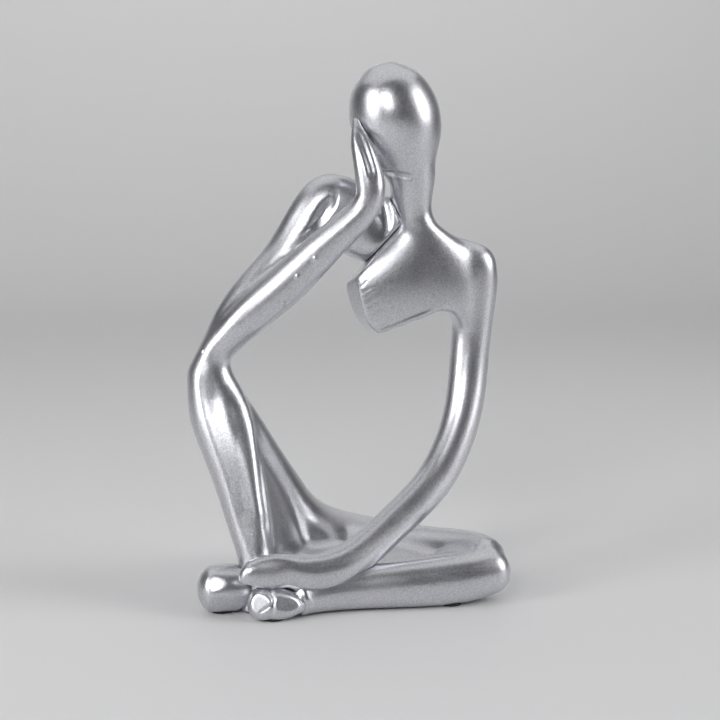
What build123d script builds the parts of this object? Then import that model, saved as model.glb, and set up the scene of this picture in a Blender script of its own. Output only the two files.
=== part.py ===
from build123d import *
import os
from math import radians, tan

os.makedirs("parts", exist_ok=True)

# A seated thinker in cast resin with a blank head. All lengths are millimetres.
# +X is the right of the front view, -Y is the front and +Z is up.

# Driving sizes of the whole figure. The routes of the limbs are shares of these three.
figure_width = 78.5
figure_depth = 60.0
figure_height = 130.0

# Head: a blunt egg that leans over the propping hand.
head_width = 21.9
head_length = 27.9
head_lean = 17.0

# Girth of each limb where its table of shares says one.
neck_girth = 9.4
chest_girth = 11.0
yoke_girth = 8.4
reaching_girth = 9.4
upper_arm_girth = 10.0
forearm_girth = 9.6
shin_girth = 11.0
thigh_girth = 10.5
hip_girth = 16.0
folded_thigh_girth = 12.6
folded_shin_girth = 11.0
web_girth = 8.0
web_turn = 27.0
apron_girth = 10.0
foot_girth = 10.6

# Rounded ends: how far each stands out past its limb's last ring.
shoulder_cap_reach = 6.2
fingertip_reach = 1.2
hand_end_reach = 3.2
ground_knee_reach = 5.0
raised_foot_reach = 4.4
toe_tip_reach = 0.8

# The toe cluster's big lobe, as its half width, half depth and half height.
big_lobe_size = (3.9, 4.4, 4.2)

# The dish worn into the front of the propping shoulder.
dish_size = (3.0, 4.0, 8.5)
dish_depth = 0.9
dish_lean = 33.0

# The chest's left side face leans back from its crisp front edge.
chest_side_slant = 20.0

# Fixings: steel dowels inside the bonded joints, and soft pads under the figure.
neck_dowel_diameter = 3.0
neck_dowel_length = 16.0
limb_dowel_diameter = 2.0
limb_dowel_length = 8.0
dowel_clearance = 0.05
pad_diameter = 5.0
pad_thickness = 1.0
pad_proud = 0.4
pad_clearance = 0.05

# One overrun serves every cut, and is larger than any part of the figure.
overrun = 200.0


def place(shares):
    """Turn shares of the figure's width, depth and height into a point."""
    return Vector(
        shares[0] * figure_width, shares[1] * figure_depth, shares[2] * figure_height
    )


def square_plane(origin, along):
    """Stand a plane square to a direction, its first axis in the front view."""
    along = along.normalized()
    side = Vector(0, 1, 0).cross(along).normalized()
    return Plane(origin=origin, x_dir=side, z_dir=along)


def limb_rings(*stretches):
    """Give planes and half sizes along a route made of (table, girth) stretches."""
    rows = [(row, girth) for table, girth in stretches for row in table]
    centres = [place(row) for row, girth in rows]
    rings = []
    for index, (row, girth) in enumerate(rows):
        before = centres[max(index - 1, 0)]
        after = centres[min(index + 1, len(rows) - 1)]
        plane = square_plane(centres[index], after - before)
        rings.append((plane, row[3] * girth / 2, row[4] * girth / 2))
    return rings


def limb(*stretches):
    """Loft a limb through ellipses; a row is x, y, z, width and depth shares."""
    rings = limb_rings(*stretches)
    return loft([plane * Ellipse(wide, deep) for plane, wide, deep in rings])


def rounded(plane, wide, deep, reach):
    """Half an egg that stands out of a ring by its reach."""
    base = (Align.CENTER, Align.CENTER, Align.MIN)
    return plane * scale(Sphere(1, arc_size1=0, align=base), by=(wide, deep, reach))


def rounded_end(reach, *stretches):
    """Close the last ring of a limb."""
    plane, wide, deep = limb_rings(*stretches)[-1]
    return rounded(plane, wide, deep, reach)


def rounded_start(reach, *stretches):
    """Close the first ring of a limb."""
    plane, wide, deep = limb_rings(*stretches)[0]
    turned = Plane(origin=plane.origin, x_dir=plane.x_dir, z_dir=-plane.z_dir)
    return rounded(turned, wide, deep, reach)


def beyond(plane):
    """A block that fills one side of a plane, out to the overrun."""
    return plane * Box(
        overrun, overrun, overrun, align=(Align.CENTER, Align.CENTER, Align.MIN)
    )


# Head and neck joint: a plane square to the head's axis, at the jaw.
jaw_shares = (0.199, 0.017, 0.788)
head_axis = Vector(0, 0, 1).rotate(Axis.Y, -head_lean)
jaw_plane = square_plane(place(jaw_shares), head_axis)

# Head: half of the egg's outline turned about the leaning axis.
head_outline_shares = (
    (0.54, 0.0),
    (0.63, 0.10),
    (0.84, 0.25),
    (0.965, 0.40),
    (1.0, 0.53),
    (0.915, 0.72),
    (0.70, 0.87),
    (0.42, 0.957),
)
head_points = [
    (across * head_width / 2, along * head_length)
    for across, along in head_outline_shares
]
crown = (0, head_length)
egg = Spline(*head_points, crown, tangents=((0.2, 1), (-1, 0)))
chin = Line((0, 0), head_points[0])
middle = Line(crown, (0, 0))
half_head = make_face(Plane.XZ * (egg + chin + middle))
head = jaw_plane * revolve(half_head, Axis.Z)

# Neck and chest: rings from the jaw down to below the chest's tip.
jaw_girth = head_width * head_outline_shares[0][0]
neck_shares = (
    (0.197, 0.022, 0.764, 1.16, 1.10),
    (0.203, 0.035, 0.730, 0.99, 0.97),
    (0.214, 0.045, 0.700, 1.12, 1.02),
)
chest_shares = (
    (0.228, 0.046, 0.662, 2.00, 0.92),
    (0.208, 0.036, 0.615, 3.05, 1.00),
    (0.182, 0.020, 0.562, 3.35, 0.85),
    (0.162, 0.003, 0.477, 3.30, 0.30),
)


def level_rings(table, girth, turn=0):
    """Lay ellipses flat at their heights; a row is x, y, z, width and depth shares."""
    rings = []
    for row in table:
        half_sizes = row[3] * girth / 2, row[4] * girth / 2
        rings.append(Pos(place(row)) * Rot(0, 0, turn) * Ellipse(*half_sizes))
    return rings


neck_rings = level_rings(neck_shares, neck_girth)
neck = loft([jaw_plane * Circle(jaw_girth / 2)] + neck_rings)
chest_body = loft(neck_rings[-1:] + level_rings(chest_shares, chest_girth))

# The chest's border: a left edge that falls to the tip, then a lower edge that
# rises to the armpit. Rows are shares of the figure's width and height.
left_edge_shares = (
    (0.013, 0.597),
    (0.019, 0.571),
    (0.031, 0.539),
    (0.051, 0.512),
    (0.083, 0.496),
)
lower_edge_shares = (
    (0.083, 0.496),
    (0.150, 0.509),
    (0.211, 0.523),
    (0.268, 0.535),
    (0.318, 0.531),
    (0.350, 0.508),
)


def front_points(table):
    """Turn width and height shares into points of the front view."""
    return [(x * figure_width, z * figure_height) for x, z in table]


left_points = front_points(left_edge_shares)
lower_points = front_points(lower_edge_shares)
left_edge = Spline(*left_points)
lower_edge = Spline(*lower_points)
outer_edge = Polyline(
    lower_points[-1],
    (overrun, lower_points[-1][1]),
    (overrun, overrun),
    (left_points[0][0], overrun),
    left_points[0],
)
border = make_face(Plane.XZ * (left_edge + lower_edge + outer_edge))
slant = Vector(-tan(radians(chest_side_slant)), 1, 0) * figure_depth
border_block = Solid.extrude((Pos(-slant) * border).face(), slant * 2)
chest = neck + chest_body & border_block

# The yoke runs from the neck's root to the cap of the reaching shoulder.
yoke_shares = (
    (0.215, 0.040, 0.645, 1.55, 0.95),
    (0.270, 0.047, 0.628, 1.83, 0.95),
    (0.330, 0.055, 0.614, 1.93, 0.95),
    (0.400, 0.064, 0.608, 1.75, 0.95),
)
yoke = limb((yoke_shares, yoke_girth))

# Reaching arm: shoulder cap, long arm, and the hand over the ankle.
reaching_shares = (
    (0.407, 0.067, 0.615, 1.20, 1.04),
    (0.404, 0.073, 0.530, 1.12, 1.00),
    (0.391, 0.062, 0.446, 1.05, 0.95),
    (0.369, 0.020, 0.356, 1.02, 0.93),
    (0.326, -0.035, 0.285, 1.00, 0.91),
    (0.254, -0.096, 0.218, 0.98, 0.89),
    (0.156, -0.162, 0.167, 0.94, 0.87),
    (0.050, -0.230, 0.120, 0.93, 0.86),
    (-0.060, -0.295, 0.086, 0.95, 0.86),
    (-0.165, -0.322, 0.077, 0.96, 0.81),
    (-0.286, -0.338, 0.075, 0.77, 0.66),
)
reaching = limb((reaching_shares, reaching_girth))
reaching += rounded_start(shoulder_cap_reach, (reaching_shares, reaching_girth))
reaching += rounded_end(hand_end_reach, (reaching_shares, reaching_girth))

# Propping arm: shoulder and upper arm behind, forearm and hand in front.
upper_arm_shares = (
    (0.221, 0.067, 0.673, 1.10, 0.90),
    (0.123, 0.092, 0.662, 1.25, 1.00),
    (0.026, 0.105, 0.708, 1.60, 1.12),
    (-0.045, 0.103, 0.726, 1.74, 1.18),
    (-0.123, 0.087, 0.681, 1.45, 1.08),
    (-0.206, 0.060, 0.624, 1.15, 1.00),
    (-0.300, 0.030, 0.568, 1.03, 0.95),
    (-0.371, 0.003, 0.508, 0.98, 0.94),
    (-0.424, -0.012, 0.440, 0.99, 0.96),
    (-0.436, -0.018, 0.372, 1.00, 0.96),
)
forearm_shares = (
    (-0.425, -0.020, 0.461, 0.81, 0.94),
    (-0.350, -0.050, 0.509, 0.95, 0.94),
    (-0.264, -0.075, 0.558, 1.02, 0.92),
    (-0.110, -0.105, 0.645, 0.94, 0.84),
    (-0.016, -0.127, 0.699, 0.81, 0.77),
    (0.040, -0.140, 0.737, 0.72, 0.71),
    (0.050, -0.147, 0.765, 0.74, 0.66),
    (0.043, -0.145, 0.796, 0.70, 0.58),
    (0.030, -0.128, 0.831, 0.60, 0.50),
    (0.019, -0.102, 0.862, 0.42, 0.40),
    (0.013, -0.078, 0.886, 0.22, 0.23),
)
upper_arm = limb((upper_arm_shares, upper_arm_girth))
forearm = limb((forearm_shares, forearm_girth))
forearm += rounded_end(fingertip_reach, (forearm_shares, forearm_girth))
shoulder_row = upper_arm_shares[3]
dish_front = shoulder_row[1] * figure_depth - shoulder_row[4] * upper_arm_girth / 2
dish_shares = (-0.072, 0.0, 0.727)
dish_place = place(dish_shares) + Vector(0, dish_front - dish_size[1] + dish_depth, 0)
dish = Pos(dish_place) * Rot(0, dish_lean, 0) * scale(Sphere(1), by=dish_size)

# Crevice: the propping arm takes all that lies above and left of this bent line,
# which runs down the neck's left side and then along the chest's upper edge.
crevice_shares = ((0.134, 0.746), (0.169, 0.7015), (0.013, 0.597))
neck_side, crevice_top, crevice_foot = front_points(crevice_shares)
fall = Vector(*crevice_foot) - Vector(*crevice_top)
crevice_end = Vector(*crevice_top) + fall.normalized() * overrun
crevice_outline = Polyline(
    neck_side,
    crevice_top,
    (crevice_end.X, crevice_end.Y),
    (crevice_end.X, overrun),
    (neck_side[0], overrun),
    neck_side,
)
crevice_face = make_face(Plane.XZ * crevice_outline)
propping_side = extrude(crevice_face, overrun, both=True)

# Elbow and knee joint: the arm stands on the raised knee.
elbow_shares = (-0.423, -0.013, 0.446)
elbow_lean = 19.0
elbow_axis = Vector(0, 0, 1).rotate(Axis.Y, -elbow_lean)
elbow_plane = square_plane(place(elbow_shares), elbow_axis)

# Shoulder joint of the reaching arm, in the valley beside the chest.
shoulder_shares = (0.312, 0.053, 0.608)
shoulder_plane = square_plane(place(shoulder_shares), Vector(1, 0, 0))

# Raised leg: the shin in front, the thigh behind, and the web between them.
shin_shares = (
    (-0.431, -0.008, 0.477, 0.86, 0.86),
    (-0.429, -0.017, 0.431, 1.00, 0.95),
    (-0.413, -0.030, 0.385, 1.22, 1.00),
    (-0.380, -0.078, 0.304, 1.26, 1.05),
    (-0.350, -0.125, 0.231, 1.11, 1.00),
    (-0.325, -0.165, 0.159, 0.95, 0.95),
    (-0.306, -0.198, 0.098, 0.80, 0.91),
    (-0.300, -0.210, 0.050, 0.80, 0.95),
    (-0.300, -0.213, 0.000, 0.90, 1.00),
)
raised_thigh_shares = (
    (-0.427, 0.000, 0.446, 0.86, 0.90),
    (-0.401, 0.013, 0.392, 0.97, 0.95),
    (-0.344, 0.053, 0.332, 0.97, 0.98),
    (-0.286, 0.108, 0.268, 1.02, 1.05),
    (-0.227, 0.170, 0.203, 1.12, 1.29),
)
seat_shares = (
    (-0.170, 0.245, 0.137, 0.86, 1.35),
    (-0.045, 0.310, 0.072, 0.96, 1.95),
    (0.104, 0.245, 0.055, 0.93, 1.50),
)
folded_thigh_shares = (
    (0.240, 0.060, 0.060, 1.15, 1.15),
    (0.345, -0.080, 0.063, 1.20, 1.10),
    (0.402, -0.185, 0.063, 1.14, 1.02),
)
web_shares = (
    (-0.372, 0.000, 0.331, 0.95, 1.10),
    (-0.322, 0.003, 0.254, 1.00, 1.90),
    (-0.268, 0.012, 0.177, 1.05, 2.60),
    (-0.222, 0.020, 0.092, 1.20, 3.00),
    (-0.200, 0.020, 0.004, 1.50, 3.20),
)
apron_shares = (
    (-0.260, -0.090, 0.036, 0.92, 1.20),
    (-0.130, -0.030, 0.040, 1.05, 2.40),
    (0.013, -0.030, 0.042, 1.10, 2.90),
    (0.156, -0.055, 0.041, 1.03, 2.45),
    (0.286, -0.105, 0.041, 1.00, 1.70),
    (0.375, -0.160, 0.043, 0.95, 1.10),
)
shin = limb((shin_shares, shin_girth))
thighs_route = (
    (raised_thigh_shares, thigh_girth),
    (seat_shares, hip_girth),
    (folded_thigh_shares, folded_thigh_girth),
)
thighs = limb(*thighs_route)
thighs += rounded_end(ground_knee_reach, *thighs_route)
thighs += loft(level_rings(web_shares, web_girth, -web_turn))
thighs += limb((apron_shares, apron_girth))

# Hip joint: a leaning plane between the raised leg and the folded one.
hip_shares = (-0.104, 0.250, 0.115)
hip_lean = 119.0
hip_axis = Vector(0, 0, 1).rotate(Axis.Y, hip_lean)
hip_plane = square_plane(place(hip_shares), hip_axis)
right_of_hip = beyond(hip_plane)

# Folded leg: the shin lies in front of the thigh and runs to the toe cluster.
folded_shin_shares = (
    (0.415, -0.215, 0.058, 1.06, 1.04),
    (0.290, -0.245, 0.048, 1.14, 1.04),
    (0.090, -0.258, 0.042, 1.02, 0.95),
    (-0.090, -0.272, 0.036, 0.88, 0.86),
    (-0.190, -0.320, 0.031, 0.76, 0.74),
)
folded_shin = limb((folded_shin_shares, folded_shin_girth))
folded_shin += rounded_start(ground_knee_reach, (folded_shin_shares, folded_shin_girth))

# Toe cluster: a big round lobe, and beside it a small one that tapers to a tip.
big_lobe_shares = (-0.292, -0.352, 0.028)
big_lobe = Pos(place(big_lobe_shares)) * scale(Sphere(1), by=big_lobe_size)
small_lobe_shares = (
    (-0.285, -0.352, 0.028, 0.68, 0.78),
    (-0.250, -0.357, 0.028, 0.74, 0.84),
    (-0.212, -0.360, 0.026, 0.58, 0.70),
    (-0.178, -0.360, 0.022, 0.28, 0.36),
)
small_lobe = limb((small_lobe_shares, foot_girth))
small_lobe += rounded_end(toe_tip_reach, (small_lobe_shares, foot_girth))

# Raised foot: a block that stands out left of the ankle.
raised_foot_shares = (
    (-0.300, -0.205, 0.041, 0.96, 0.92),
    (-0.365, -0.213, 0.043, 1.08, 1.06),
    (-0.430, -0.220, 0.042, 1.08, 1.08),
)
foot_block = limb((raised_foot_shares, foot_girth))
foot_block += rounded_end(raised_foot_reach, (raised_foot_shares, foot_girth))

# Castings, cut on their shared joints, and flat underneath at the pads' height.
floor_cut = beyond(Plane(origin=(0, 0, pad_proud), x_dir=(1, 0, 0), z_dir=(0, 0, -1)))
above_elbow = beyond(elbow_plane)
right_of_shoulder = beyond(shoulder_plane)

folded_foot = big_lobe + small_lobe - floor_cut
folded_leg = (thighs & right_of_hip) + folded_shin - folded_foot - floor_cut
raised_leg = thighs - right_of_hip + shin - above_elbow - floor_cut - folded_leg - folded_foot
raised_foot = foot_block - raised_leg - folded_foot - floor_cut
shoulders = chest + yoke
reaching_arm = (shoulders & right_of_shoulder) + reaching
reaching_arm = reaching_arm - folded_foot - folded_leg - raised_leg
torso = shoulders + upper_arm - propping_side - right_of_shoulder
propping_arm = ((upper_arm & propping_side) + forearm - dish) & above_elbow
propping_arm = propping_arm - head

castings = {
    "head": head,
    "torso": torso,
    "propping_arm": propping_arm,
    "reaching_arm": reaching_arm,
    "raised_leg": raised_leg,
    "raised_foot": raised_foot,
    "folded_leg": folded_leg,
    "folded_foot": folded_foot,
}

# Dowels: each joint names its two castings, a point on it and the dowel's direction.
neck_joint = ("head", "torso", jaw_shares, head_axis)
limb_joints = (
    ("torso", "propping_arm", (0.112, 0.075, 0.668), Vector(-0.74, 0, 0.67)),
    ("torso", "reaching_arm", shoulder_shares, Vector(1, 0, 0)),
    ("propping_arm", "raised_leg", elbow_shares, elbow_axis),
    ("raised_leg", "folded_leg", hip_shares, hip_axis),
    ("raised_leg", "raised_foot", (-0.368, -0.212, 0.042), Vector(1, 0, 0)),
    ("folded_leg", "folded_foot", (-0.200, -0.335, 0.030), Vector(0.93, 0.36, 0)),
)


def set_dowel(joint, diameter, length):
    """Drill both castings of a joint and give the dowel that fills the hole."""
    plane = Plane(origin=place(joint[2]), z_dir=joint[3])
    hole = plane * Cylinder(diameter / 2 + dowel_clearance, length + dowel_clearance)
    for name in joint[:2]:
        castings[name] = castings[name] - hole
    return plane * Cylinder(diameter / 2, length)


neck_dowel = set_dowel(neck_joint, neck_dowel_diameter, neck_dowel_length)
limb_dowels = Compound(
    [
        set_dowel(joint, limb_dowel_diameter, limb_dowel_length).solid()
        for joint in limb_joints
    ]
)

# Pads: soft discs in spot faces under the seat, the shin, the foot and the toes.
pad_places = (
    ("folded_leg", (0.000, 0.300, 0)),
    ("folded_leg", (0.290, -0.245, 0)),
    ("raised_foot", (-0.410, -0.220, 0)),
    ("folded_foot", (-0.265, -0.356, 0)),
)
upright = (Align.CENTER, Align.CENTER, Align.MIN)
pads = []
for name, shares in pad_places:
    seat = Pos(place(shares))
    pads.append((seat * Cylinder(pad_diameter / 2, pad_thickness, align=upright)).solid())
    spot_radius = pad_diameter / 2 + pad_clearance
    castings[name] -= seat * Cylinder(spot_radius, pad_thickness, align=upright)
base_pads = Compound(pads)

# The origin lies on the floor under the middle of the figure's box.
pieces = dict(castings, neck_dowel=neck_dowel, limb_dowels=limb_dowels, base_pads=base_pads)
figure_box = Compound([piece for piece in pieces.values()]).bounding_box()
middle_of_base = Vector(figure_box.center().X, figure_box.center().Y, figure_box.min.Z)
for name, piece in pieces.items():
    export_step(Pos(-middle_of_base) * piece, f"parts/{name}.step")
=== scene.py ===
from math import cos, radians, sin

import bpy
import numpy as np
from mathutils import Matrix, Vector
from mathutils.bvhtree import BVHTree


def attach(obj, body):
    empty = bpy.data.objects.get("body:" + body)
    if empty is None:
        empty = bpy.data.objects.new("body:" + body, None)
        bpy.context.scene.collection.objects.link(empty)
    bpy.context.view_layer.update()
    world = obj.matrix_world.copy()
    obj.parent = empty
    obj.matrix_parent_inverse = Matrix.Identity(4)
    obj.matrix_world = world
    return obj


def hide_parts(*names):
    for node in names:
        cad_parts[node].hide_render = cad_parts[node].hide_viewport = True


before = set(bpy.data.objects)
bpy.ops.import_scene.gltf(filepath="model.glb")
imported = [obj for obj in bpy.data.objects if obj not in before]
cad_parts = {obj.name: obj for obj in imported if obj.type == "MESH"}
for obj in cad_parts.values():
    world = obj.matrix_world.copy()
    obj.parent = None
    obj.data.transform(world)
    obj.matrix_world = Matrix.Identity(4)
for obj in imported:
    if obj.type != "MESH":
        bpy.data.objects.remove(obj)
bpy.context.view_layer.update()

# Camera: a little to the left of the figure's front and just above it. It comes first,
# because the fine lines of the figure are traced as pixels of the 720 pixel photograph,
# which shows the figure a little wider than its stated size.
mm = 0.001
camera_side = radians(-8)
camera_rise = radians(7)
camera_distance = 380 * mm
camera_lens = 76.85
sensor_width = 36.0
nearest_seen = 10 * mm
picture_size = 720
photo_stretch = 1.016
aim_point = Vector((4.1, 0.2, 57.3)) * mm
back = Vector(
    (
        sin(camera_side) * cos(camera_rise),
        -cos(camera_side) * cos(camera_rise),
        sin(camera_rise),
    )
)
camera_place = aim_point + back * camera_distance
bpy.ops.object.camera_add(location=camera_place)
camera = bpy.context.object
camera.rotation_euler = (-back).to_track_quat("-Z", "Y").to_euler()
camera.data.lens = camera_lens
camera.data.sensor_width = sensor_width
camera.data.clip_start = nearest_seen
bpy.context.scene.camera = camera
bpy.context.scene.view_settings.view_transform = "Standard"

# Silver paint: one sprayed coat of metallic lacquer over the sanded resin. Its flakes show
# as a fine grain, and the coat is a little thinner and duller in patches.
dark_silver = (0.56, 0.562, 0.595, 1)
light_silver = (0.72, 0.722, 0.762, 1)
silver_roughness = 0.34
roughness_spread = 0.06
lacquer_weight = 0.8
lacquer_roughness = 0.14
flake_size = 0.38 * mm
flake_detail = 2.0
flake_range = (0.35, 0.65)
patch_size = 9 * mm
patch_detail = 3.0
dullness_range = (0.6, 1.4)
grain_height = 0.07 * mm
grain_strength = 0.35


def new_material(name):
    """Start a material with its shader and the piece's own coordinates."""
    material = bpy.data.materials.new(name)
    material.use_nodes = True
    nodes = material.node_tree.nodes
    return material, nodes["Principled BSDF"], nodes.new("ShaderNodeTexCoord")


silver, shader, coordinates = new_material("silver_paint")
add_node = silver.node_tree.nodes.new
connect = silver.node_tree.links.new
shader.inputs["Metallic"].default_value = 1.0
shader.inputs["Coat Weight"].default_value = lacquer_weight
shader.inputs["Coat Roughness"].default_value = lacquer_roughness
grain = add_node("ShaderNodeTexNoise")
grain.inputs["Scale"].default_value = 1 / flake_size
grain.inputs["Detail"].default_value = flake_detail
connect(coordinates.outputs["Object"], grain.inputs["Vector"])
patches = add_node("ShaderNodeTexNoise")
patches.inputs["Scale"].default_value = 1 / patch_size
patches.inputs["Detail"].default_value = patch_detail
connect(coordinates.outputs["Object"], patches.inputs["Vector"])
flake_share = add_node("ShaderNodeMapRange")
flake_share.inputs["From Min"].default_value = flake_range[0]
flake_share.inputs["From Max"].default_value = flake_range[1]
connect(grain.outputs["Fac"], flake_share.inputs["Value"])
flakes = add_node("ShaderNodeMix")
flakes.data_type = "RGBA"
flakes.inputs["A"].default_value = dark_silver
flakes.inputs["B"].default_value = light_silver
connect(flake_share.outputs["Result"], flakes.inputs["Factor"])
connect(flakes.outputs["Result"], shader.inputs["Base Color"])
both = add_node("ShaderNodeMath")
both.operation = "ADD"
connect(grain.outputs["Fac"], both.inputs[0])
connect(patches.outputs["Fac"], both.inputs[1])
roughness_range = add_node("ShaderNodeMapRange")
roughness_range.inputs["From Min"].default_value = dullness_range[0]
roughness_range.inputs["From Max"].default_value = dullness_range[1]
roughness_range.inputs["To Min"].default_value = silver_roughness - roughness_spread
roughness_range.inputs["To Max"].default_value = silver_roughness + roughness_spread
connect(both.outputs["Value"], roughness_range.inputs["Value"])
connect(roughness_range.outputs["Result"], shader.inputs["Roughness"])
bump = add_node("ShaderNodeBump")
bump.inputs["Strength"].default_value = grain_strength
bump.inputs["Distance"].default_value = grain_height
connect(grain.outputs["Fac"], bump.inputs["Height"])
connect(bump.outputs["Normal"], shader.inputs["Normal"])

# Lower body: the propping arm on its knee, the raised leg and the folded leg. They are
# resin castings, bonded with dowels, filled and rubbed down, so their joints flow together:
# the solids are welded into one skin, sculpted, and parted again at the elbow and the hip.
skin_grid = 0.3 * mm
weld_gap = 0.001 * mm
rubbing = 0.5
spot_rubbing = 0.9
line_fade = 5
block_size = 500 * mm
crease_angle = radians(50)


def only(piece):
    """Make one object the active and only selected one."""
    bpy.ops.object.select_all(action="DESELECT")
    piece.select_set(True)
    bpy.context.view_layer.objects.active = piece


def apply(piece, kind, **settings):
    """Add a modifier with its settings and apply it."""
    only(piece)
    bpy.ops.object.modifier_add(type=kind)
    modifier = piece.modifiers[-1]
    for name, value in settings.items():
        setattr(modifier, name, value)
    bpy.ops.object.modifier_apply(modifier=modifier.name)


def even_skin(body):
    """Close a body into one even skin of small faces."""
    apply(body, "REMESH", mode="VOXEL", voxel_size=skin_grid)


def fill_corners(body, radius):
    """Fill the inner corners to a radius: swell the skin, close it and shrink it back."""
    for step in (radius, -radius):
        apply(body, "DISPLACE", strength=step * mm, mid_level=0)
        even_skin(body)
        apply(body, "SMOOTH", factor=rubbing, iterations=2)


def poured(name, *castings):
    """Copy the castings' meshes, weld them and close them into one even skin."""
    bpy.ops.object.select_all(action="DESELECT")
    for casting in castings:
        copy = bpy.data.objects.new(name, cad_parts[casting].data.copy())
        bpy.context.collection.objects.link(copy)
        copy.select_set(True)
        bpy.context.view_layer.objects.active = copy
    bpy.ops.object.join()
    body = bpy.context.object
    body.name = name
    bpy.ops.object.mode_set(mode="EDIT")
    bpy.ops.mesh.select_all(action="SELECT")
    bpy.ops.mesh.remove_doubles(threshold=weld_gap)
    bpy.ops.object.mode_set(mode="OBJECT")
    even_skin(body)
    return body


def read_vectors(body, kind):
    """The body's vertex places ("co") or normals ("normal") as an array of rows."""
    values = np.empty(len(body.data.vertices) * 3)
    if kind == "co":
        body.data.vertices.foreach_get("co", values)
    else:
        body.data.vertex_normals.foreach_get("vector", values)
    return values.reshape(-1, 3)


def move_skin(body, points):
    """Put the body's vertices at new places."""
    body.data.vertices.foreach_set("co", points.ravel())
    body.data.update()


def rub_down(body, passes, spots=()):
    """Smooth the skin: all over, or only within the reach of each (place, reach) spot."""
    if not spots:
        apply(body, "SMOOTH", factor=rubbing, iterations=passes)
        return
    points = read_vectors(body, "co")
    weights = np.zeros(len(points))
    for place, reach in spots:
        away = np.linalg.norm(points - np.array(place) * mm, axis=1) / (reach * mm)
        weights = np.maximum(weights, np.clip(2 - 2 * away, 0, 1))
    group = body.vertex_groups.new(name="spots")
    for index in np.nonzero(weights)[0]:
        group.add([int(index)], float(weights[index]), "REPLACE")
    apply(body, "SMOOTH", factor=spot_rubbing, iterations=passes, vertex_group="spots")
    body.vertex_groups.clear()


def trace(body, pixels):
    """Follow a line of the photograph over the skin; gives a row of points on it."""
    tree = BVHTree.FromObject(body, bpy.context.evaluated_depsgraph_get())
    turn = camera.rotation_euler.to_matrix()
    pixel = sensor_width / camera_lens / picture_size
    middle = picture_size / 2
    points = []
    for start, end in zip(pixels, pixels[1:]):
        steps = max(int(np.hypot(end[0] - start[0], end[1] - start[1])), 1)
        for share in np.linspace(0, 1, steps, endpoint=False):
            across = (start[0] + (end[0] - start[0]) * share - middle) / photo_stretch
            down = start[1] + (end[1] - start[1]) * share - middle
            ray = turn @ Vector((across * pixel, -down * pixel, -1))
            hit = tree.ray_cast(camera_place, ray.normalized())[0]
            if hit is not None:
                points.append(hit)
    return np.array(points)


def trace_spot(body, pixel):
    """The point of the skin that one pixel of the photograph shows."""
    return trace(body, (pixel, (pixel[0] + 1, pixel[1])))[0]


def tool_line(body, pixels, width, height, crisp=False):
    """Press a traced line into the skin, or raise it at a positive height; its ends fade."""
    line = trace(body, pixels)
    points = read_vectors(body, "co")
    reach = width / 2 * mm
    near = np.all((points > line.min(0) - reach) & (points < line.max(0) + reach), axis=1)
    chosen = np.nonzero(near)[0]
    away = np.full(len(chosen), np.inf)
    along = np.zeros(len(chosen))
    for step, place in enumerate(line):
        distance = np.linalg.norm(points[chosen] - place, axis=1)
        along[distance < away] = (step + 0.5) / len(line)
        away = np.minimum(away, distance)
    share = np.clip(away / reach, 0, 1)
    profile = (1 - share) ** 2 if crisp else (1 - share**2) ** 2
    profile *= np.clip(line_fade * np.minimum(along, 1 - along), 0, 1)
    points[chosen] += read_vectors(body, "normal")[chosen] * (profile * height * mm)[:, None]
    move_skin(body, points)


def press_flat(body, pixel, facing, width, depth):
    """Flatten the skin round a traced pixel, square to where the flat faces."""
    place = trace_spot(body, pixel)
    facing = Vector(facing).normalized()
    points = read_vectors(body, "co")
    proud = np.clip((points - place) @ np.array(facing) + depth * mm, 0, None)
    away = np.linalg.norm(points - place, axis=1) / (width / 2 * mm)
    share = np.clip(2 - 2 * away, 0, 1)
    points -= np.outer(proud * share, facing)
    move_skin(body, points)


def pull(body, pixel, move, reach):
    """Drag the skin round a traced pixel; the pull fades to nothing at the reach."""
    place = trace_spot(body, pixel)
    points = read_vectors(body, "co")
    away = np.linalg.norm(points - place, axis=1) / (reach * mm)
    share = np.clip(1 - away**2, 0, 1) ** 2
    points += np.outer(share, np.array(move) * mm)
    move_skin(body, points)


def behind(place, normal):
    """A big block whose one face lies at the place; the normal points out of that face."""
    normal = Vector(normal).normalized()
    bpy.ops.mesh.primitive_cube_add(
        size=block_size,
        location=Vector(place) * mm - normal * block_size / 2,
        rotation=normal.to_track_quat("Z", "Y").to_euler(),
    )
    return bpy.context.object


def part_off(body, name, *planes):
    """Saw off the part of a body that lies behind every plane, as a casting of its own."""
    saw = behind(*planes[0])
    for plane in planes[1:]:
        block = behind(*plane)
        apply(saw, "BOOLEAN", operation="INTERSECT", object=block, solver="MANIFOLD")
        bpy.data.objects.remove(block)
    casting = body.copy()
    casting.data = body.data.copy()
    casting.name = name
    bpy.context.collection.objects.link(casting)
    apply(casting, "BOOLEAN", operation="INTERSECT", object=saw, solver="MANIFOLD")
    apply(body, "BOOLEAN", operation="DIFFERENCE", object=saw, solver="MANIFOLD")
    bpy.data.objects.remove(saw)
    return casting


def finish_casting(piece, node):
    """Shade a casting, paint it and let it stand for its node."""
    only(piece)
    bpy.ops.object.shade_smooth_by_angle(angle=crease_angle)
    piece.data.materials.clear()
    piece.data.materials.append(silver)
    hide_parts(node)
    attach(piece, "root")


# The solids close into one skin, with full corners at the hip and tighter ones at the elbow.
# The dowels are poured with the legs to close their drilled holes. The shoulder's dowel meets
# none of these castings, so it stays in this skin as a loose piece, hidden in the shoulder.
legs =poured("cast_legs", "raised_leg", "folded_leg", "limb_dowels")
fill_corners(legs, radius=4.0)
lower_body = poured("cast_propping_arm", "propping_arm")
only(lower_body)
legs.select_set(True)
bpy.ops.object.join()
even_skin(lower_body)
fill_corners(lower_body, radius=1.2)

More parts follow.
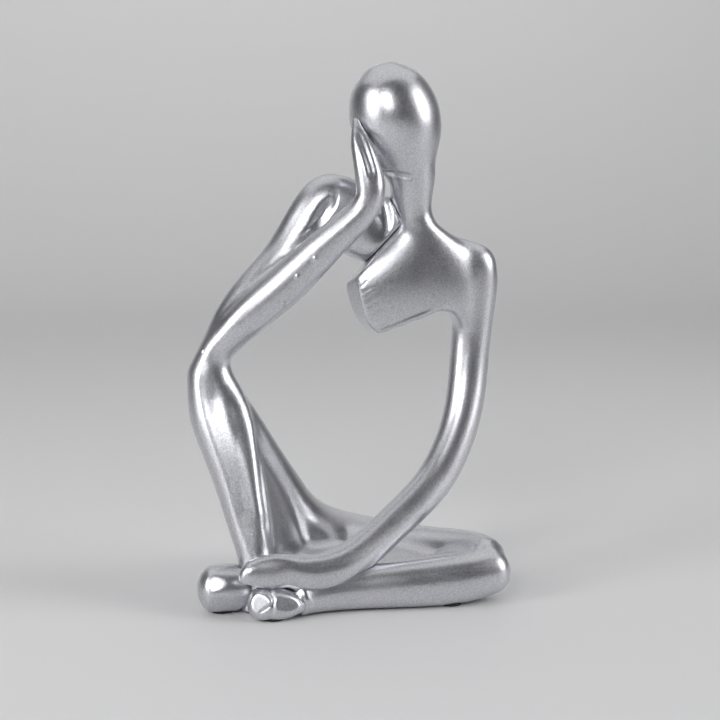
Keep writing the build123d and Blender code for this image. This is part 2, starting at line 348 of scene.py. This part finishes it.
# Rubbing down: lightly all over, and hard at the top of the web between shin and thigh, in the
# hollows before the hip and inside the folded knee, and round the elbow. Each spot is a place
# and a reach in millimetres. The left side of the raised leg is then drawn out a little.
web_top = ((-27, -7, 42), 7)
hip_hollow = ((-19, -2, 14), 12)
knee_hollow = ((11, -12, 8), 10)
elbow_spot = ((-32, -5, 57), 14)
leg_side = (197, 392)
rub_down(lower_body, passes=8)
rub_down(lower_body, passes=45, spots=(web_top, hip_hollow, knee_hollow))
rub_down(lower_body, passes=220, spots=(elbow_spot,))
pull(lower_body, leg_side, move=(-0.7, 0, 0), reach=24)

# Tooling: the lines of the shin, forearm and hand, the creases in the hollow of the upper
# arm and the small nibs that the mould left on the forearm, as pixels of the photograph.
# Their widths, heights and reaches are in millimetres.
shin_front_groove = (
    (213, 359),
    (208, 382),
    (214, 416),
    (228, 459),
    (238, 490),
    (249, 536),
    (256, 556),
)
shin_back_groove = ((243, 399), (251, 425), (255, 456), (259, 493), (264, 528), (271, 554))
shin_ridge = ((230, 368), (239, 400), (248, 430), (254, 470), (260, 520), (266, 550))
forearm_ridge = ((245, 336), (262, 325), (286, 302), (322, 268))
finger_groove = ((356, 127), (360, 135), (365, 149), (371, 167), (374, 182))
dish_creases = (
    ((330, 193), (328, 205), (321, 216), (299, 236)),
    ((338, 190), (336, 203), (330, 214)),
)
forearm_nibs = ((314, 259), (296, 277), (284, 304), (199, 351))
tool_line(lower_body, shin_front_groove, width=6.5, height=-0.4)
tool_line(lower_body, shin_back_groove, width=3.6, height=-0.5)
tool_line(lower_body, forearm_ridge, width=2.4, height=0.25)
tool_line(lower_body, shin_ridge, width=9.0, height=1.0)
tool_line(lower_body, finger_groove, width=2.8, height=-0.5)
rub_down(lower_body, passes=6)
for crease in dish_creases:
    tool_line(lower_body, crease, width=1.3, height=-0.15)
for nib in forearm_nibs:
    pull(lower_body, nib, move=(0, -0.25, 0), reach=0.7)

# Parting: the legs lie behind the elbow's plane and below a level just above the knee, and
# the hip's plane parts them. What is left of the skin is the propping arm.
elbow_place = (-32.37, -4.95, 57.98)
elbow_tilt = radians(19)
elbow_normal = (-sin(elbow_tilt), 0, cos(elbow_tilt))
above_knee = (0, 0, 64)
hip_place = (-7.32, 10.83, 14.95)
hip_tilt = radians(119)
hip_normal = (sin(hip_tilt), 0, cos(hip_tilt))
raised_leg = part_off(
    lower_body, "cast_raised_leg", (elbow_place, elbow_normal), (above_knee, (0, 0, 1))
)
folded_leg = part_off(raised_leg, "cast_folded_leg", (hip_place, -Vector(hip_normal)))
finish_casting(lower_body, "propping_arm")
finish_casting(raised_leg, "raised_leg")
finish_casting(folded_leg, "folded_leg")

# Upper body: head, neck, chest plate and the long arm that reaches down to the ankle. They
# are resin castings, bonded, filled and rubbed down like the lower body. The end of the hand
# is drawn out over the ankle, and the jaw, the chest's rim and its wrinkles are tooled in.
neck_root = ((17.4, -2, 94), 16)
shoulder_root = ((25, -1, 82), 12)
armpit = ((25, -1, 68), 7)
shoulder_cap = ((31, -2, 78), 15)
armpit_edge = ((27, -2, 65), 9)
hand_end = (260, 584)
hand_top = (275, 574)
hand_bottom = (268, 580)
jaw_line = ((381, 171), (401, 175), (411, 177), (418, 175))
chest_rim = ((362, 322), (374, 334), (392, 328), (410, 320.5), (433, 311.5), (447, 313))
chest_wrinkles = (
    ((354, 288), (362, 286), (369, 279)),
    ((355, 294), (365, 292), (373, 286)),
    ((357, 301), (368, 299), (377, 292)),
    ((359, 308), (371, 306), (381, 298)),
    ((362, 315), (374, 313), (384, 305)),
)
upper_body = poured("cast_reaching_arm", "head", "torso", "reaching_arm", "neck_dowel")
fill_corners(upper_body, radius=2.0)
rub_down(upper_body, passes=8)
rub_down(upper_body, passes=35, spots=(neck_root, shoulder_root, armpit))
rub_down(upper_body, passes=90, spots=(shoulder_cap, armpit_edge))
pull(upper_body, hand_end, move=(-3.6, 0, 0.8), reach=12)
pull(upper_body, hand_top, move=(0, 0, 1.4), reach=9)
pull(upper_body, hand_bottom, move=(0, -0.5, -1.6), reach=6)
tool_line(upper_body, jaw_line, width=2.4, height=-0.5)
rub_down(upper_body, passes=3)
tool_line(upper_body, chest_rim, width=1.8, height=0.2)
for wrinkle in chest_wrinkles:
    tool_line(upper_body, wrinkle, width=1.0, height=-0.05)

# Parting: the head at the jaw's plane, and the torso on the inner side of the shoulder's
# plane and above the chest's lower edge. What is left of the skin is the reaching arm.
jaw_place = (16.46, -3.15, 102.44)
jaw_tilt = radians(17)
jaw_normal = (-sin(jaw_tilt), 0, cos(jaw_tilt))
shoulder_place = (25.33, -0.99, 79.04)
below_chest = (0, 0, 55)
head = part_off(upper_body, "cast_head", (jaw_place, -Vector(jaw_normal)))
torso = part_off(
    upper_body, "cast_torso", (shoulder_place, (1, 0, 0)), (below_chest, (0, 0, -1))
)
finish_casting(head, "head")
finish_casting(torso, "torso")
finish_casting(upper_body, "reaching_arm")

# Raised foot: a small resin casting, a rounded block bonded to the left of the ankle. Its
# front is rubbed to two soft flats that meet in a ridge.
foot_upper_front = (214, 578)
foot_lower_front = (216, 600)
raised_foot = poured("cast_raised_foot", "raised_foot")
rub_down(raised_foot, passes=4)
press_flat(raised_foot, foot_upper_front, facing=(-0.16, -0.87, 0.46), width=44, depth=0.25)
press_flat(raised_foot, foot_lower_front, facing=(-0.05, -0.92, -0.40), width=44, depth=0.4)
rub_down(raised_foot, passes=45)
finish_casting(raised_foot, "raised_foot")

# Folded foot: a small resin casting of toes like two leaves, with a crisp crease between
# them and a second one under the left leaf, bonded to the end of the ground shin.
left_leaf = (259, 602)
right_leaf = (287, 602)
toe_crease = ((268, 588), (272, 600), (271, 617))
leaf_crease = ((272, 604), (257, 614))
folded_foot = poured("cast_folded_foot", "folded_foot")
rub_down(folded_foot, passes=4)
press_flat(folded_foot, left_leaf, facing=(-0.40, -0.87, 0.28), width=18, depth=0.6)
press_flat(folded_foot, right_leaf, facing=(0.25, -0.92, 0.30), width=18, depth=0.5)
rub_down(folded_foot, passes=12)
tool_line(folded_foot, toe_crease, width=1.8, height=-0.6, crisp=True)
tool_line(folded_foot, leaf_crease, width=1.4, height=-0.4, crisp=True)
finish_casting(folded_foot, "folded_foot")

# Dowels and pads: drawn steel pins sealed inside the joints, and soft black discs that
# are glued into spot faces under the figure.
steel_colour = (0.55, 0.56, 0.58, 1)
steel_roughness = 0.35
pad_colour = (0.03, 0.03, 0.032, 1)
pad_roughness = 0.85
steel, shader, coordinates = new_material("dowel_steel")
shader.inputs["Base Color"].default_value = steel_colour
shader.inputs["Metallic"].default_value = 1.0
shader.inputs["Roughness"].default_value = steel_roughness
pad_black, shader, coordinates = new_material("pad_rubber")
shader.inputs["Base Color"].default_value = pad_colour
shader.inputs["Roughness"].default_value = pad_roughness
for node, material in (("neck_dowel", steel), ("limb_dowels", steel), ("base_pads", pad_black)):
    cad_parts[node].data.materials.clear()
    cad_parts[node].data.materials.append(material)

# Studio floor: one pale painted sweep, flat under the figure and bent up behind it in
# short steps along an arc.
sweep_width = 5.0
bend_start = 0.8
bend_radius = 0.9
bend_steps = 32
sweep_height = 1.5
sweep_colour = (0.78, 0.78, 0.785, 1)
sweep_roughness = 0.5
bpy.ops.mesh.primitive_plane_add(size=sweep_width)
sweep = bpy.context.object
sweep.name = "studio_sweep"
bpy.ops.object.mode_set(mode="EDIT")
bpy.ops.transform.translate(value=(0, bend_start - sweep_width / 2, 0))
bpy.ops.mesh.select_all(action="DESELECT")
bpy.ops.object.mode_set(mode="OBJECT")
for edge in sweep.data.edges:
    edge.select = all(sweep.data.vertices[end].co.y > bend_start - mm for end in edge.vertices)
bpy.ops.object.mode_set(mode="EDIT")
bpy.ops.mesh.select_mode(type="EDGE")
chord = 2 * bend_radius * sin(radians(45) / bend_steps)
for step in range(bend_steps):
    tilt = radians(90) * (step + 0.5) / bend_steps
    move = (0, chord * cos(tilt), chord * sin(tilt))
    bpy.ops.mesh.extrude_region_move(TRANSFORM_OT_translate={"value": move})
bpy.ops.mesh.extrude_region_move(TRANSFORM_OT_translate={"value": (0, 0, sweep_height)})
bpy.ops.mesh.select_all(action="SELECT")
bpy.ops.mesh.normals_make_consistent(inside=False)
bpy.ops.object.mode_set(mode="OBJECT")
only(sweep)
bpy.ops.object.shade_smooth()
sweep_paint, shader, coordinates = new_material("sweep_paint")
shader.inputs["Base Color"].default_value = sweep_colour
shader.inputs["Roughness"].default_value = sweep_roughness
sweep.data.materials.append(sweep_paint)

# Studio light: a dim room, a small key lamp on the left, one lamp at each side, a wide one
# overhead and one for the backdrop. Lengths are in metres here, and powers in watts.
room_light = (0.07, 0.071, 0.075, 1)
figure_middle = (0, 0, 0.065)
floor_middle = (0, 0.2, 0)
backdrop_middle = (0, 1.7, 0.6)
world = bpy.data.worlds.new("studio_light")
bpy.context.scene.world = world
world.use_nodes = True
world.node_tree.nodes["Background"].inputs["Color"].default_value = room_light
world.node_tree.nodes["Background"].inputs["Strength"].default_value = 1.0


def softbox(name, place, target, wide, high, power, spread=180):
    """Hang a rectangular lamp that points at a target, its light kept within a spread."""
    aim = Vector(target) - Vector(place)
    bpy.ops.object.light_add(type="AREA", location=place)
    lamp = bpy.context.object
    lamp.name = name
    lamp.rotation_euler = aim.to_track_quat("-Z", "Y").to_euler()
    lamp.data.shape = "RECTANGLE"
    lamp.data.size = wide
    lamp.data.size_y = high
    lamp.data.energy = power
    lamp.data.spread = radians(spread)


softbox("key_softbox", (-0.35, -0.75, 0.50), figure_middle, wide=0.30, high=0.30, power=1.9)
softbox(
    "left_softbox",
    (-0.80, -0.38, 0.38),
    figure_middle,
    wide=0.40,
    high=0.60,
    power=1.2,
    spread=100,
)
softbox(
    "right_softbox",
    (0.87, -0.30, 0.46),
    figure_middle,
    wide=0.55,
    high=0.75,
    power=1.25,
    spread=90,
)
softbox("top_softbox", (0.0, 0.5, 2.0), floor_middle, wide=3.4, high=2.4, power=18.0)
softbox(
    "backdrop_softbox",
    (0.0, 0.4, 1.8),
    backdrop_middle,
    wide=2.2,
    high=0.4,
    power=4.0,
    spread=80,
)
